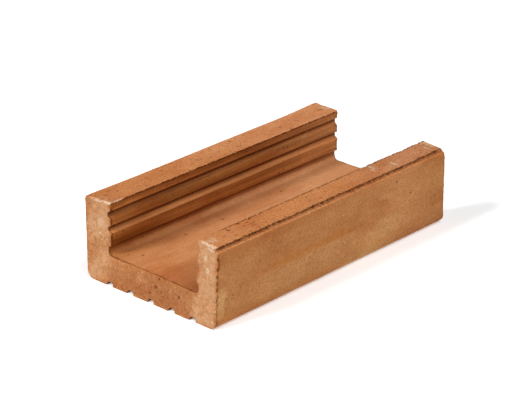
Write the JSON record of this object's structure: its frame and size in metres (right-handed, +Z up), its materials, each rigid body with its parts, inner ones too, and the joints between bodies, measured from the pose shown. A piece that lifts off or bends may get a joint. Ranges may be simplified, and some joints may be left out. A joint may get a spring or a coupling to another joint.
{
  "type": "clay channel brick",
  "caption": "U-shaped fired clay channel brick with ribbed inner walls and a grooved underside, laid in a row as the shell of a reinforced lintel or ring beam.",
  "frame": {"origin": "on the underside, below the middle of the brick", "axes": "+X along the brick's length and its channel, +Y across it to the wall with the plain rounded outer edge, +Z up, out of the channel"},
  "size_m": [0.24, 0.123, 0.06],
  "materials": {
    "fired_clay": "matt"
  },
  "bodies": {
    "root": {"brick": "fired_clay"}
  },
  "joints": []
}
